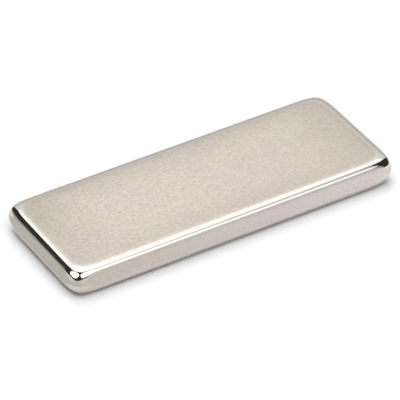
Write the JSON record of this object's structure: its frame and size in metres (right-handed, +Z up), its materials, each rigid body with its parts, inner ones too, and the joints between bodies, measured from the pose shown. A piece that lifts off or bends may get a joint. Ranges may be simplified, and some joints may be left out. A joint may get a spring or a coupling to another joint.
{
  "type": "block magnet",
  "caption": "Flat rectangular rare earth magnet with rounded corners and worn rims, nickel plated, to be glued, pocketed or stuck by a pole face.",
  "frame": {"origin": "middle of the bottom pole face, on the surface that the magnet lies on", "axes": "+X along the length, +Y along the width, +Z up through the thickness, from pole face to pole face"},
  "size_m": [0.025, 0.01, 0.002],
  "materials": {
    "nickel_plating": "nickel plate, satin on the ground pole faces and sides, bright on the tumbled rims and corners"
  },
  "bodies": {
    "root": {"magnet_block": "nickel_plating"}
  },
  "joints": []
}
